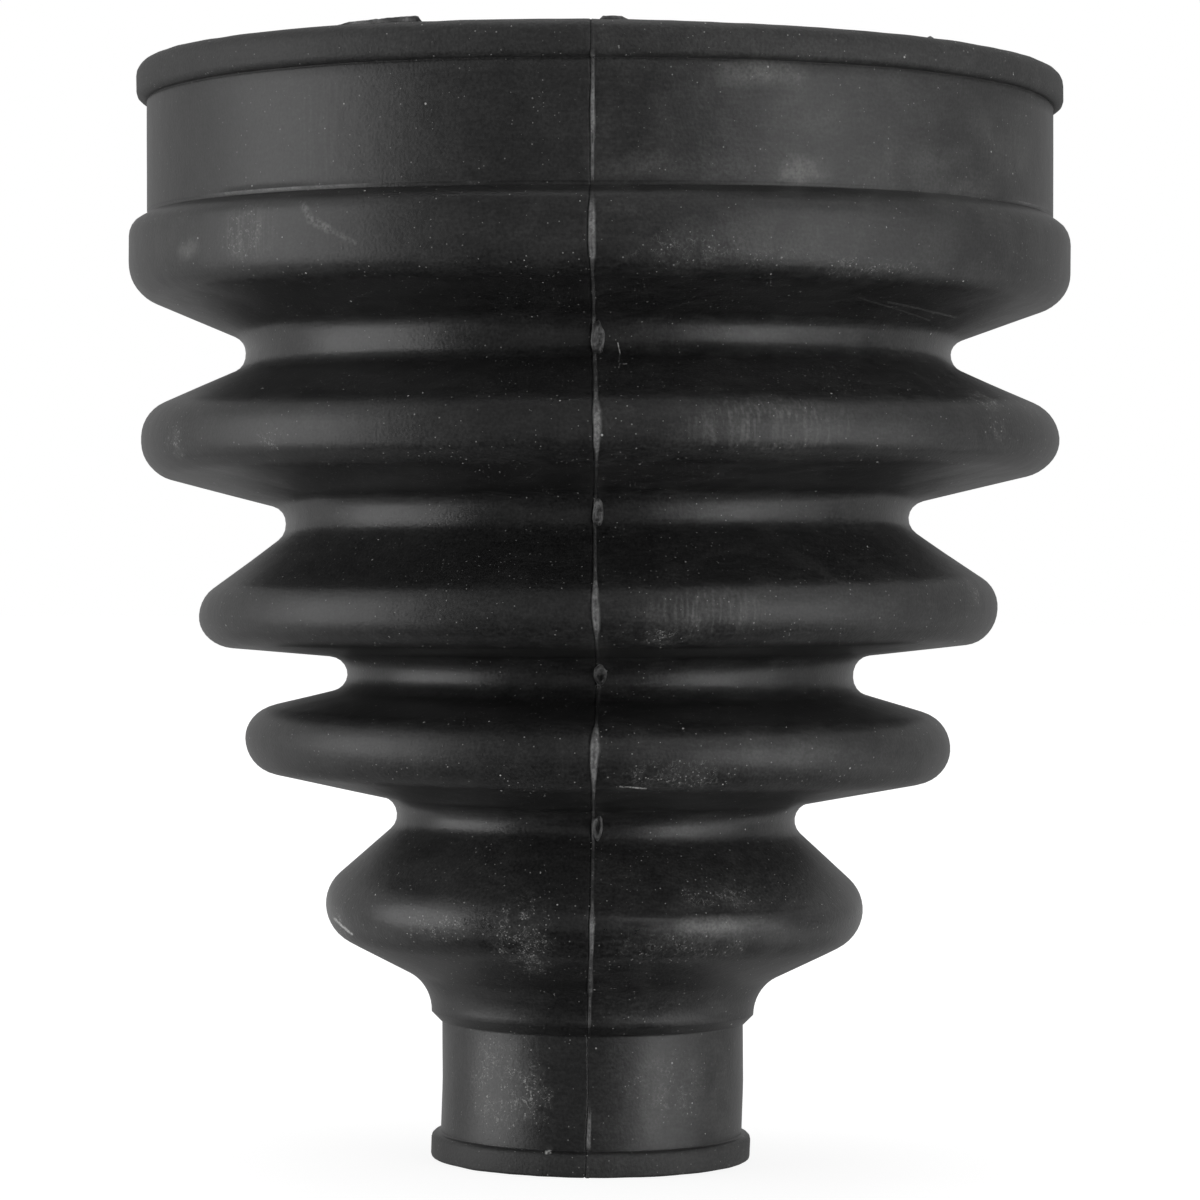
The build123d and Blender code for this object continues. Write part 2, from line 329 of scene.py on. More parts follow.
# Scratches and a fibre of lint, each as (one end, the other end, half width, strength). They are
# measured as seen along Y, and Y tells only whether they are at the front or at the back.
STROKES = (
    ((-28.4, -39.8, 96.2), (-27.5, -40.5, 94.6), 0.3, 0.15),
    ((-27.5, -40.5, 94.6), (-25.8, -41.5, 93.7), 0.38, 0.16),
    ((-25.8, -41.5, 93.7), (-23.2, -43.5, 92.3), 0.24, 0.08),
    ((28.1, -34.0, 87.8), (35.9, -21.8, 87.0), 0.07, 0.15),
    ((25.0, -36.0, 88.0), (33.0, -25.5, 86.6), 0.05, 0.12),
    ((-4.65, -16.0, 2.45), (-4.25, -16.1, 2.5), 0.12, 1.0),
    ((2.4, -35.5, 40.6), (4.9, -35.3, 40.4), 0.07, 0.7),
    ((-26.6, -8.3, 25.2), (-24.7, -11.7, 24.0), 0.15, 1.0),
    ((1.8, -36.7, 83.3), (2.02, -37.3, 82.3), 0.05, 0.8),
    ((2.02, -37.3, 82.3), (1.89, -38.4, 81.4), 0.04, 0.25),
    ((2.0, -39.0, 81.2), (2.67, -39.0, 81.2), 0.05, 0.6),
    ((2.0, -39.0, 81.2), (1.89, -40.0, 80.8), 0.05, 0.5),
    ((-30.0, 38.0, 92.5), (-27.0, 40.5, 94.0), 0.1, 0.6),
)

# Where the rubber shines more, as (height, share): on the small seat, on the lowest fold and in
# the valleys.
POLISH = (
    (2.6, 0.0), (4.0, 0.5), (13.0, 0.5), (14.5, 0.0), (22.0, 0.0), (26.2, 1.4), (29.5, 0.0),
    (32.5, 0.0), (35.4, 1.0), (38.5, 0.0), (47.5, 0.0), (50.2, 0.8), (53.0, 0.0), (63.5, 0.0),
    (66.1, 1.0), (69.0, 0.0), (81.0, 0.0), (83.4, 1.2), (86.5, 0.0),
)

# Unevenness of the moulded surface, and of the lips, as (size across, height).
SWELL = (26.0, 0.07)
RIPPLE = (4.5, 0.012)
LIP_RIPPLE = (2.6, 0.06)
# Flash looks torn from this height on, and wholly so from this much more.
TORN_FROM = 0.03
TORN_FADE = 0.15
# How torn the pads and scraps look: patches to a millimetre, mean, swing and least.
TORN_PATCHES = 1.1
TORN_MEAN = 0.5
TORN_SWING = 1.1
TORN_LEAST = 0.1
# Height over which a matt lip turns into the smoother seat beside it.
MATT_FADE = 0.4

# ---------------- mesh density, millimetres
# Spacing of the points along the section: in bends and on straight runs, outside and inside,
# and beside corners.
BEND_STEP = 0.64
OUTER_STEP = 1.15
INNER_STEP = 4.5
INNER_BEND_STEP = 1.0
EDGE = 0.13
# Spacing of the columns round the boot, those beside the parting line, and how far from it
# those keep their spacing where the boot is narrower.
COLUMN_STEP = 1.25
SEAM_OFFSETS = (0.0, 0.07, 0.13, 0.19, 0.25, 0.32, 0.41, 0.53, 0.85)
SEAM_SPREAD = 0.6

# A bend of the wall in the section: its centre, and its radius, which is negative in a valley,
# so that centre + radius * (cos, sin) is on the wall where its outward normal has that angle.
Bend = namedtuple("Bend", "x z radius")


def crest(reach, height, rounding, depth):
    """Bend out to radius reach, for the surface that lies depth under the outer one."""
    rounding = max(rounding - depth, WALL_EDGE_ROUND)
    return Bend(reach - depth - rounding, height, rounding)


def valley(reach, height, rounding, depth):
    """Bend in to radius reach, for the surface that lies depth under the outer one."""
    return Bend(reach + rounding, height, -rounding - depth)


def wall_bends(depth):
    """Bends of the wall, at this depth under its outside, from the neck up to the shoulder."""
    height = NECK_HEIGHT
    bends = [valley(NECK_RADIUS, height, NECK_ROUND, depth)]
    for fold, (reach, rounding, rise) in enumerate(zip(CREST_RADII, CREST_ROUNDS, CREST_RISES)):
        if fold:
            height += VALLEY_RISES[fold - 1]
            bends.append(valley(VALLEY_RADII[fold - 1], height, VALLEY_ROUND, depth))
        height += rise
        bends.append(crest(reach, height, rounding, depth))
    height += SHOULDER_RISE
    bends.append(crest(CREST_RADII[-1], height, SHOULDER_ROUND, depth))
    return bends


def flank_angle(low, high):
    """Angle of the outward normal of the straight flank that touches both bends."""
    run, rise = high.x - low.x, high.z - low.z
    length = math.hypot(run, rise)
    along = (low.radius - high.radius) / length
    across = math.sqrt(1 - along**2)
    return math.degrees(math.atan2(along * rise - across * run, along * run + across * rise))


def on_bend(bend, angle):
    """Point of the wall where its outward normal has this angle."""
    a = math.radians(angle)
    return (bend.x + bend.radius * math.cos(a), bend.z + bend.radius * math.sin(a))


def arc(bend, start, end, step=BEND_STEP):
    """Points along a bend, a step apart or less, and at least three steps of it."""
    count = max(3, math.ceil(abs(math.radians(end - start) * bend.radius) / step))
    return [on_bend(bend, start + (end - start) * i / count) for i in range(count + 1)]


def wall_outline(depth, neck_angle, step=BEND_STEP):
    """Arcs of the wall from the neck, where it leaves at neck_angle, up to the shoulder."""
    bends = wall_bends(depth)
    flanks = [flank_angle(low, high) for low, high in zip(bends, bends[1:])]
    angles = [neck_angle, *flanks, 90 - SHOULDER_SLOPE]
    return [arc(*bend, step) for bend in zip(bends, angles, angles[1:])]


def ledge(depth, radius):
    """Where the shoulder's slope, at this depth, meets the large end's wall of this radius."""
    x, z = wall_outline(depth, 0)[-1][-1]
    return (radius, z - (radius - x) * math.tan(math.radians(SHOULDER_SLOPE)))


HEIGHT = ledge(0, LARGE_SEAT_RADIUS)[1] + LARGE_SEAT + LARGE_LIP_HEIGHT


def outer_outline():
    """The boot's outside, from the small end's face upwards to the large end's."""
    foot_corner = SMALL_LIP_RADIUS - SMALL_LIP_FOOT_ROUND
    small_corner = SMALL_LIP_RADIUS - SMALL_LIP_ROUND
    undercut = LARGE_LIP_RADIUS - LIP_UNDERCUT_ROUND
    large_corner = LARGE_LIP_RADIUS - LARGE_LIP_ROUND
    lip_bottom = HEIGHT - LARGE_LIP_HEIGHT
    return [
        arc(Bend(foot_corner, SMALL_LIP_FOOT_ROUND, SMALL_LIP_FOOT_ROUND), -90, 0),
        arc(Bend(small_corner, SMALL_LIP_HEIGHT - SMALL_LIP_ROUND, SMALL_LIP_ROUND), 0, 90),
        [(SMALL_SEAT_RADIUS, SMALL_LIP_HEIGHT)],
        [(SMALL_SEAT_RADIUS, SMALL_SEAT_TOP)],
        *wall_outline(0, 0),
        [ledge(0, LARGE_SEAT_RADIUS)],
        [(LARGE_SEAT_RADIUS, lip_bottom)],
        arc(Bend(undercut, lip_bottom + LIP_UNDERCUT_ROUND, LIP_UNDERCUT_ROUND), -90, 0),
        arc(Bend(large_corner, HEIGHT - LARGE_LIP_ROUND, LARGE_LIP_ROUND), 0, 90),
    ]


def inner_outline():
    """The boot's inside, from the large end's mouth down to the small end's."""
    wall = wall_outline(WALL, -LEAD_IN_ANGLE, INNER_BEND_STEP)
    x, z = wall[0][0]
    lead_in = z + (SMALL_BORE_RADIUS - x) * math.tan(math.radians(90 - LEAD_IN_ANGLE))
    return [
        arc(Bend(LARGE_BORE_RADIUS + MOUTH_ROUND, HEIGHT - MOUTH_ROUND, MOUTH_ROUND), 90, 180),
        [ledge(WALL, LARGE_BORE_RADIUS)],
        *(bend[::-1] for bend in wall[::-1]),
        [(SMALL_BORE_RADIUS, lead_in)],
        arc(Bend(SMALL_BORE_RADIUS + MOUTH_ROUND, MOUTH_ROUND, MOUTH_ROUND), 180, 270),
    ]


def sampled(outline, step):
    """Points along an outline, with its straight runs divided, and finely beside its corners."""
    points = []
    for piece, following in zip(outline, [*outline[1:], None]):
        points += piece
        if following is None:
            return points
        (x, z), (next_x, next_z) = piece[-1], following[0]
        length = math.hypot(next_x - x, next_z - z)
        if length < TOUCHING:
            points.pop()
            continue
        count = max(1, round(length / step))
        shares = [i / count for i in range(1, count)]
        if min(len(piece), len(following)) == 1 and length > 4 * EDGE:
            edge = EDGE / length
            shares = [edge, 2 * edge, *shares, 1 - 2 * edge, 1 - edge]
        points += [(x + (next_x - x) * share, z + (next_z - z) * share) for share in shares]


def column_offsets():
    """Places of the mesh's columns from the front seam to the back one, in mm at the seat."""
    half = math.pi * LARGE_SEAT_RADIUS
    start = SEAM_OFFSETS[-1]
    count = round((half - 2 * start) / COLUMN_STEP)
    even = [start + (half - 2 * start) * i / count for i in range(1, count)]
    return [*SEAM_OFFSETS, *even, *(half - offset for offset in reversed(SEAM_OFFSETS))]


def arc_from_seam(offset, radius):
    """Length from the seam at this radius, which stays the same beside the seam at any radius."""
    share = radius / LARGE_SEAT_RADIUS
    return offset * (share + (1 - share) / (1 + (offset / SEAM_SPREAD) ** 2))


def table(points, rows):
    """A table's values at these points, straight between its rows."""
    places, values = zip(*rows)
    return np.interp(points, places, values)


def grid(loop):
    """The mesh's points, as rows x columns: their angles, their distances from the parting line
    at the front and at the back, and whether the front is nearer."""
    half = math.pi * LARGE_SEAT_RADIUS
    offsets = np.array(column_offsets())
    radii = np.array([radius for radius, _ in loop])[:, None]
    heights = np.array([height for _, height in loop])
    front = arc_from_seam(offsets, radii)
    back = arc_from_seam(half - offsets, radii)
    at_front = np.broadcast_to(offsets < half / 2, front.shape)
    right = np.where(at_front, front / radii, math.pi - back / radii)
    angles = np.concatenate([right, 2 * math.pi - right[:, -2:0:-1]], axis=1) - math.pi / 2
    front = np.concatenate([front, -front[:, -2:0:-1]], axis=1)
    back = np.concatenate([back, -back[:, -2:0:-1]], axis=1)
    at_front = np.concatenate([at_front, at_front[:, -2:0:-1]], axis=1)
    wander = table(heights, FRONT_SEAM)[:, None] / (1 + (front / SEAM_WIDTH) ** 2)
    angles += np.where(at_front, wander, 0) / radii
    wander = table(heights, BACK_SEAM)[:, None] / (1 + (back / SEAM_WIDTH) ** 2)
    angles -= np.where(at_front, 0, wander) / radii
    return angles, front, back, at_front


def loop_normals(loop):
    """Outward normals of the section at its points."""
    points = np.array(loop)
    along = np.roll(points, -1, axis=0) - np.roll(points, 1, axis=0)
    along /= np.linalg.norm(along, axis=1)[:, None]
    return np.stack([along[:, 1], -along[:, 0]], axis=1)


def fin(heights, distances, rows, seed):
    """How far the parting line's flash stands out, less its groove, this far from the line."""
    uneven = np.array([noise.noise((0, seed, z / FIN_ROUGHNESS_LENGTH)) for z in heights])[:, None]
    proud = table(heights, [(z, height) for z, height, _ in rows])[:, None]
    proud = proud * (1 + FIN_ROUGHNESS * uneven)
    half_width = table(heights, [(z, width) for z, _, width in rows])[:, None]
    aside = (distances - FIN_WANDER * half_width * uneven) / half_width
    blade = np.clip(1 - aside**2, 0, 1) ** FIN_BLUNTNESS
    groove = np.clip(1 - np.abs(distances + half_width + GROOVE_GAP) / GROOVE_HALF_WIDTH, 0, 1)
    return proud * blade - GROOVE_DEPTH * groove


def near(heights, middle, reach):
    """1 at the middle height, and 0 a reach or more from it."""
    return np.clip(1 - np.abs(heights - middle) / reach, 0, 1)


def fold_rise(heights, degrees):
    """How far the folds stand above their nominal heights, as rows x columns: wholly within 60
    degrees of the front and the back, and not at all at the sides."""
    left = table(heights, [(z, rise) for z, rise, _ in FOLD_RISE])[:, None]
    right = table(heights, [(z, rise) for z, _, rise in FOLD_RISE])[:, None]
    across = np.sin(np.radians(degrees)) / math.sin(math.radians(RISE_BLEND))
    share = np.clip((1 + across) / 2, 0, 1)
    facing = np.clip(2 * np.abs(np.cos(np.radians(degrees))), 0, 1)
    return facing * (left + (right - left) * share)


def rippled(points, size, height):
    """Smooth unevenness at the points, of this size across and height."""
    return height * np.array([noise.noise(Vector(point) / size) for point in points])


def set_in_place(points):
    """Leans, shifts and raises the points as the real moulding sits."""
    heights, leans, shifts, rises = zip(*SAG)
    x, z = points[:, 0].copy(), points[:, 2].copy()
    lean = np.radians(np.interp(z, heights, leans))
    points[:, 0] += np.interp(z, heights, shifts)
    points[:, 2] += np.interp(z, heights, rises) - x * np.tan(lean)
    return points


def wall_points(loop, outer_rows):
    """The wall's points (rows x columns x 3), uneven and with its flash, and that flash's height."""
    angles, front, back, at_front = grid(loop)
    radii = np.array([radius for radius, _ in loop])[:, None] * np.ones_like(angles)
    heights = np.array([height for _, height in loop])
    proud = np.where(at_front, fin(heights, front, FRONT_FIN, 1), fin(heights, back, BACK_FIN, 2))
    degrees = np.degrees(angles + math.pi / 2)
    degrees = (degrees + 180) % 360 - 180
    ledge_height = ledge(0, LARGE_SEAT_RADIUS)[1]
    at_edge = (np.abs(heights - ledge_height - EDGE) < TOUCHING)[:, None]
    proud += np.where(at_edge, table(degrees, LEDGE_FLASH), 0)
    flash = proud.copy()
    under_edge = near(heights, ledge_height, LEDGE_CREASE_REACH) * (heights < ledge_height + TOUCHING)
    proud -= LEDGE_CREASE * under_edge[:, None]
    lip_bottom = HEIGHT - LARGE_LIP_HEIGHT
    under_lip = (np.abs(heights - lip_bottom) < TOUCHING)[:, None]
    on_seat = radii < LARGE_SEAT_RADIUS + TOUCHING
    proud -= np.where(under_lip & on_seat, LIP_CREASE, 0)
    points = np.stack([radii * np.cos(angles), radii * np.sin(angles), radii * 0], axis=-1)
    points[:, :, 2] = heights[:, None]
    flat = points.reshape(-1, 3)
    swell = rippled(flat, *SWELL).reshape(angles.shape)
    ripple = rippled(flat, *RIPPLE).reshape(angles.shape)
    lips = near(heights, HEIGHT, LARGE_LIP_HEIGHT) + near(heights, 0, SMALL_LIP_HEIGHT)
    ripple += lips[:, None] * rippled(flat, *LIP_RIPPLE).reshape(angles.shape)
    rise = near(heights, lip_bottom, RISE_REACH)[:, None] * table(degrees, LIP_UNDERSIDE)
    rise += near(heights, ledge_height, RISE_REACH)[:, None] * table(degrees, LEDGE_RISE)
    outside = (np.arange(len(loop)) < outer_rows)[:, None]
    folds = np.where(outside, fold_rise(heights, degrees), fold_rise(heights - WALL, degrees))
    proud = np.where(outside, proud + ripple, 0) + swell * heights[:, None] / HEIGHT
    normals = loop_normals(loop)
    radii = radii + proud * normals[:, :1]
    points[:, :, 0] = radii * np.cos(angles)
    points[:, :, 1] = radii * np.sin(angles)
    points[:, :, 2] += proud * normals[:, 1:] + np.where(outside, rise, 0) + folds
    points[:, :, 2] = np.clip(points[:, :, 2], 0, None)
    return points, flash


def marked(points, outside):
    """How strongly each kind of mark shows at the points: {kind: values}."""
    radii = np.hypot(points[:, 0], points[:, 1])
    azimuths = np.degrees(np.arctan2(points[:, 0], -points[:, 1]))
    masks = {kind: np.zeros(len(points)) for kind in ("dust", "scuff", "streak")}
    for kind, azimuth, height, half_width, half_height, strength in MARKS:
        aside = np.radians((azimuths - azimuth + 180) % 360 - 180) * radii / half_width
        above = (points[:, 2] - height) / half_height
        inside = np.clip(1 - aside**2 - above**2, 0, 1) ** MARK_SOFTNESS
        masks[kind] = np.maximum(masks[kind], strength * inside * outside)
    return masks


def surface_masks(points, outer_rows, fins, slopes):
    """Values for the rubber's shader at the wall's points: {name: values}."""
    rows, columns = fins.shape
    outside = np.repeat(np.arange(rows) < outer_rows, columns)
    masks = marked(points, outside)
    masks["slope"] = np.repeat(slopes, columns) * outside
    heights = points[:, 2]
    masks["inside"] = 1.0 - outside
    masks["torn"] = np.clip((fins.reshape(-1) - TORN_FROM) / TORN_FADE, 0, 1) * outside
    # Painted shade: marks the groove beside the fin, where the shader takes off the specular shine.
    masks["crack"] = np.clip(-fins.reshape(-1) / GROOVE_DEPTH, 0, 1) * outside
    masks["polish"] = table(heights, POLISH) * outside
    above = heights - (HEIGHT - LARGE_LIP_HEIGHT) + MATT_FADE / 2
    masks["matt"] = np.clip(above / MATT_FADE, 0, 1) * outside
    masks["matt"] += np.clip((SMALL_LIP_HEIGHT - heights) / MATT_FADE, 0, 1) * outside
    return masks


def keep_masks(mesh, masks):
    """Stores the masks on the mesh, where the shader reads them."""
    for name, values in masks.items():
        mesh.attributes.new(name, "FLOAT", "POINT").data.foreach_set("value", values)


def boot_mesh():
    """The boot's wall: its closed section, taken round the axis."""
    outer = sampled(outer_outline(), OUTER_STEP)
    loop = outer + sampled(inner_outline(), INNER_STEP)
    points, fins = wall_points(loop, len(outer))
    rows, columns, _ = points.shape
    points = points.reshape(-1, 3)
    masks = surface_masks(points, len(outer), fins, loop_normals(loop)[:, 1])
    points = set_in_place(points)
    index = np.arange(rows * columns).reshape(rows, columns)
    right, up = np.roll(index, -1, axis=1), np.roll(index, -1, axis=0)
    corner = np.roll(up, -1, axis=1)
    faces = np.stack([index, right, corner, up], axis=-1).reshape(-1, 4)
    mesh = bpy.data.meshes.new("boot_wall")
    mesh.from_pydata((points * MM).tolist(), [], faces.tolist())
    mesh.shade_smooth()
    mesh.update()
    keep_masks(mesh, masks)
    return mesh


def closed_tube(rings, name):
    """Torn piece: a mesh of rings of points, set in place, with a face at each end."""
    count = len(rings[0])
    points = set_in_place(np.array(rings).reshape(-1, 3)).tolist()
    faces = [tuple(range(count))[::-1], tuple(range(len(points) - count, len(points)))]
    for ring in range(len(rings) - 1):
        for i in range(count):
            a, b = ring * count + i, ring * count + (i + 1) % count
            faces.append((a, b, b + count, a + count))
    mesh = bpy.data.meshes.new(name)
    mesh.from_pydata([tuple(v * MM for v in point) for point in points], [], faces)
    mesh.shade_smooth()
    mesh.update()
    uneven = np.array([noise.noise(Vector(point) * TORN_PATCHES) for point in points])
    keep_masks(mesh, {"torn": np.clip(TORN_MEAN + TORN_SWING * uneven, TORN_LEAST, 1)})
    return mesh


def pad_mesh(name, bend, place, side):
    """Torn pad of flash in the valley of this bend, at the front (side -1) or back (side 1)."""
    shift, rise, half_width, half_length, proud, hollow = place
    wall = bend.x + bend.radius
    rings = []
    shares = [*PAD_OUTER_RINGS, *((PAD_RINGS - i) / PAD_RINGS for i in range(PAD_RINGS))]
    for level, share in enumerate(shares):
        ring = []
        for spoke in range(PAD_SPOKES):
            turn = 2 * math.pi * spoke / PAD_SPOKES
            seed = Vector((math.cos(turn), math.sin(turn), PAD_VARIETY * wall))
            uneven = noise.noise(seed * PAD_OUTLINE_FINENESS)
            reach = share * (1 + PAD_OUTLINE_ROUGHNESS * uneven)
            x, z = half_width * reach * math.cos(turn), half_length * reach * math.sin(turn)
            rim = math.exp(-(((share - PAD_RIM) / PAD_RIM_WIDTH) ** 2))
            dish = hollow * max(0, 1 - (share / PAD_HOLLOW_END) ** 2)
            face = proud * (1 - PAD_RIM_SHARE + PAD_RIM_SHARE * rim) - dish
            rough = PAD_FACE_ROUGHNESS * noise.noise(Vector((x, z, wall)) * PAD_FACE_FINENESS)
            edge = PAD_EDGE_FALL * max(0, share - PAD_EDGE_START) / PAD_EDGE_WIDTH
            height = -PAD_ROOT if level == 0 else face + rough - edge - PAD_SLOPE * x
            ring.append((x + shift, side * (wall + height), bend.z + rise + z))
        rings.append(ring if side < 0 else ring[::-1])
    return closed_tube(rings, name)


def tab_mesh(name, rows):
    """Torn strip of flash standing on the large lip's face."""
    middle = LARGE_LIP_RADIUS - LARGE_LIP_ROUND
    start, end = rows[0][0], rows[-1][0]
    count = max(4, round(math.radians(end - start) * middle / TAB_STEP))
    rings = []
    for i in range(count + 1):
        degrees = start + (end - start) * i / count
        ragged = TAB_RAGGEDNESS * noise.noise((degrees * TAB_FINENESS, 3.0, 0.0))
        height = max(TAB_LEAST, float(table(degrees, rows)) + ragged)
        turn = math.radians(degrees - 90)
        half = TAB_THICKNESS / 2
        section = [(middle - half, HEIGHT - TAB_ROOT), (middle + half, HEIGHT - TAB_ROOT)]
        section += [(middle + half * across, HEIGHT + height * up) for across, up in TAB_SECTION]
        rings.append([(r * math.cos(turn), r * math.sin(turn), z) for r, z in section][::-1])
    return closed_tube(rings, name)


# ---------------- the rubber
# Sizes are in millimetres, and colours, roughness and specular level as the shader takes them.
CARBON_BLACK = (0.0105, 0.0105, 0.0107)
TORN_GREY = (0.17, 0.17, 0.17, 1)
# The film's colour, for real dust and for the two patches that paint a highlight.
DUST_AND_HIGHLIGHT_COLOR = (0.22, 0.22, 0.215, 1)
SCRATCH_COLOR = (0.5, 0.5, 0.49, 1)
ROUGHNESS = 0.35
SPECULAR = 0.5
# Specks of dust, as (spacing, radius, share of the places that hold one, strength).
SPECKS = ((0.5, 0.055, 0.34, 0.27), (1.9, 0.08, 0.45, 0.62))
# The grit in scuffs, as (spacing, radius, strength).
GRIT = (0.3, 0.062, 0.36)
# Where the film of dust thickens at the parting line, from and to this X.
FILM_EDGE = (-0.9, -0.1)


def node(tree, kind, inputs, **settings):
    """New shader node. Each input is a value for its socket, or a socket that feeds it."""
    item = tree.nodes.new("ShaderNode" + kind)
    for name, value in settings.items():
        setattr(item, name, value)
    for name, value in inputs.items():
        if isinstance(value, bpy.types.NodeSocket):
            tree.links.new(value, item.inputs[name])
        else:
            item.inputs[name].default_value = value
    return item


def maths(tree, operation, a, b=0.0, c=0.0, clamp=False):
    """Result of a Math node."""
    return node(tree, "Math", {0: a, 1: b, 2: c}, operation=operation, use_clamp=clamp).outputs[0]


def total(tree, *values):
    """The values added up."""
    result = values[0]
    for value in values[1:]:
        result = maths(tree, "ADD", result, value)
    return result


def product(tree, *values):
    """The values multiplied."""
    result = values[0]
    for value in values[1:]:
        result = maths(tree, "MULTIPLY", result, value)
    return result


def ramp(tree, value, low, high, to_low=0.0, to_high=1.0):
    """The value stretched from low..high to to_low..to_high, and held there."""
    inputs = {"Value": value, "From Min": low, "From Max": high, "To Min": to_low, "To Max": to_high}
    return node(tree, "MapRange", inputs).outputs[0]


def clouds(tree, place, size, detail=2.0, distortion=0.0, stretch=(1, 1, 1)):
    """Noise from 0 to 1 with features of about this size."""
    scaled = node(tree, "VectorMath", {0: place, 1: stretch}, operation="MULTIPLY").outputs[0]
    inputs = {"Vector": scaled, "Scale": 1 / size, "Detail": detail, "Distortion": distortion}
    return node(tree, "TexNoise", inputs).outputs["Fac"]


def attribute(tree, name):
    """The mesh's mask of this name."""
    return node(tree, "Attribute", {}, attribute_name=name).outputs["Fac"]


def specks(tree, place, spacing, radius, share):
    """Dots, of half to one and a half times the radius, in a share of cells: 1 in a dot."""
    cells = node(tree, "TexVoronoi", {"Vector": place, "Scale": 1 / spacing})
    chance = node(tree, "SeparateColor", {"Color": cells.outputs["Color"]})
    reach = radius / spacing
    size = maths(tree, "MULTIPLY_ADD", chance.outputs["Green"], reach, 0.5 * reach)
    dot = maths(tree, "LESS_THAN", cells.outputs["Distance"], size)
    return maths(tree, "MULTIPLY", dot, maths(tree, "LESS_THAN", chance.outputs["Red"], share))


def threads(tree, place, size, width):
    """Thin curved lines: 1 on a line."""
    field = clouds(tree, place, size, 1.0, 1.4)
    from_middle = maths(tree, "ABSOLUTE", maths(tree, "SUBTRACT", field, 0.5))
    return maths(tree, "LESS_THAN", from_middle, width)


def stroke(tree, place, start, end, half_width):
    """1 on the straight line between two points, as seen along Y, with a soft edge."""
    run = Vector(end) - Vector(start)
    run.y = 0
    offset = node(tree, "VectorMath", {0: place, 1: start}, operation="SUBTRACT").outputs[0]
    offset = node(tree, "VectorMath", {0: offset, 1: (1, 0, 1)}, operation="MULTIPLY").outputs[0]
    along = {0: offset, 1: run / run.length_squared}
    along = node(tree, "VectorMath", along, operation="DOT_PRODUCT").outputs["Value"]
    share = maths(tree, "ADD", along, 0.0, clamp=True)
    nearest = node(tree, "VectorMath", {0: tuple(run), "Scale": share}, operation="SCALE").outputs[0]
    gap = node(tree, "VectorMath", {0: offset, 1: nearest}, operation="DISTANCE").outputs["Value"]
    return ramp(tree, gap, 0.5 * half_width, 1.5 * half_width, 1.0, 0.0)


